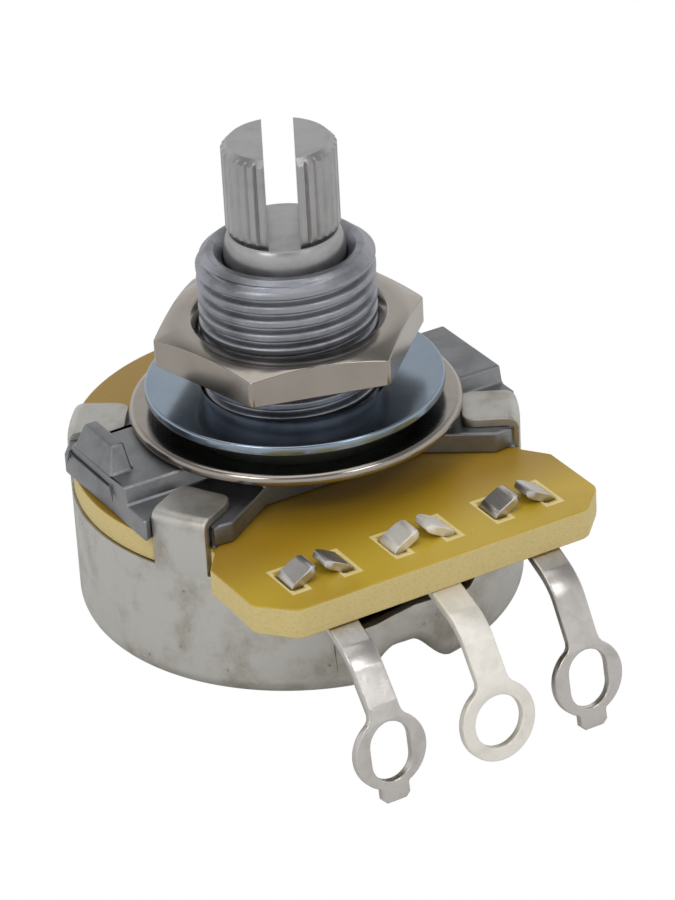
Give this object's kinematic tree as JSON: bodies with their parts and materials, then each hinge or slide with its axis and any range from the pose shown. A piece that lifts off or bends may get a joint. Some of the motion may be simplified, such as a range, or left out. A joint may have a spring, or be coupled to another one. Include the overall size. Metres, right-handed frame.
{
  "type": "rotary potentiometer",
  "caption": "Panel rotary potentiometer with a split knurled shaft, threaded bushing, nut and washers, a folded-tab metal can and solder lugs",
  "frame": {"origin": "on the shaft axis, in the plane of the plate that seats against the back of the panel", "axes": "+Z along the shaft towards the knob, -Y towards the solder lugs"},
  "size_m": [0.0242, 0.0321, 0.028],
  "materials": {
    "cast_zinc": "zinc die casting, blue-grey, satin",
    "shaft_metal": "light grey satin metal",
    "fibre": "dark fibre",
    "driver_steel": "plated steel",
    "phenolic": "brown moulded phenolic",
    "spring_brass": "bright spring alloy",
    "board": "translucent golden laminate, gloss face, sawn edge",
    "carbon": "matt carbon film",
    "silver_print": "printed silver conductor",
    "tinned": "bright tinned sheet",
    "matt_silver": "matt silver plate",
    "can_tin": "satin tinned steel with faint stains",
    "nickel": "bright nickel plate",
    "lock_steel": "plated spring steel",
    "blue_zinc": "blue-bright zinc plate"
  },
  "bodies": {
    "root": {"bushing_plate": "cast_zinc", "thrust_washer": "fibre", "element_board": "board", "resistive_track": "carbon", "end_conductors": "silver_print", "collector_ring": "silver_print", "terminal_left": "tinned", "terminal_centre": "matt_silver", "terminal_right": "tinned", "can": "can_tin", "lower_washer": "nickel", "lock_washer": "lock_steel", "upper_washer": "blue_zinc"},
    "rotor": {"shaft": "shaft_metal", "driver_plate": "driver_steel", "rotor_disc": "phenolic", "wiper": "spring_brass"},
    "nut": {"hex_nut": "nickel"}
  },
  "joints": [
    {"name": "shaft_turn", "type": "hinge", "parent": "root", "child": "rotor", "pos_m": [0, 0, 0], "axis": [0, 0, 1], "range_deg": [-124.4, 175.6]},
    {"name": "nut_travel", "type": "slide", "parent": "root", "child": "nut", "axis": [0, 0, 1], "range_m": [-0.00185, 0.0045]}
  ]
}
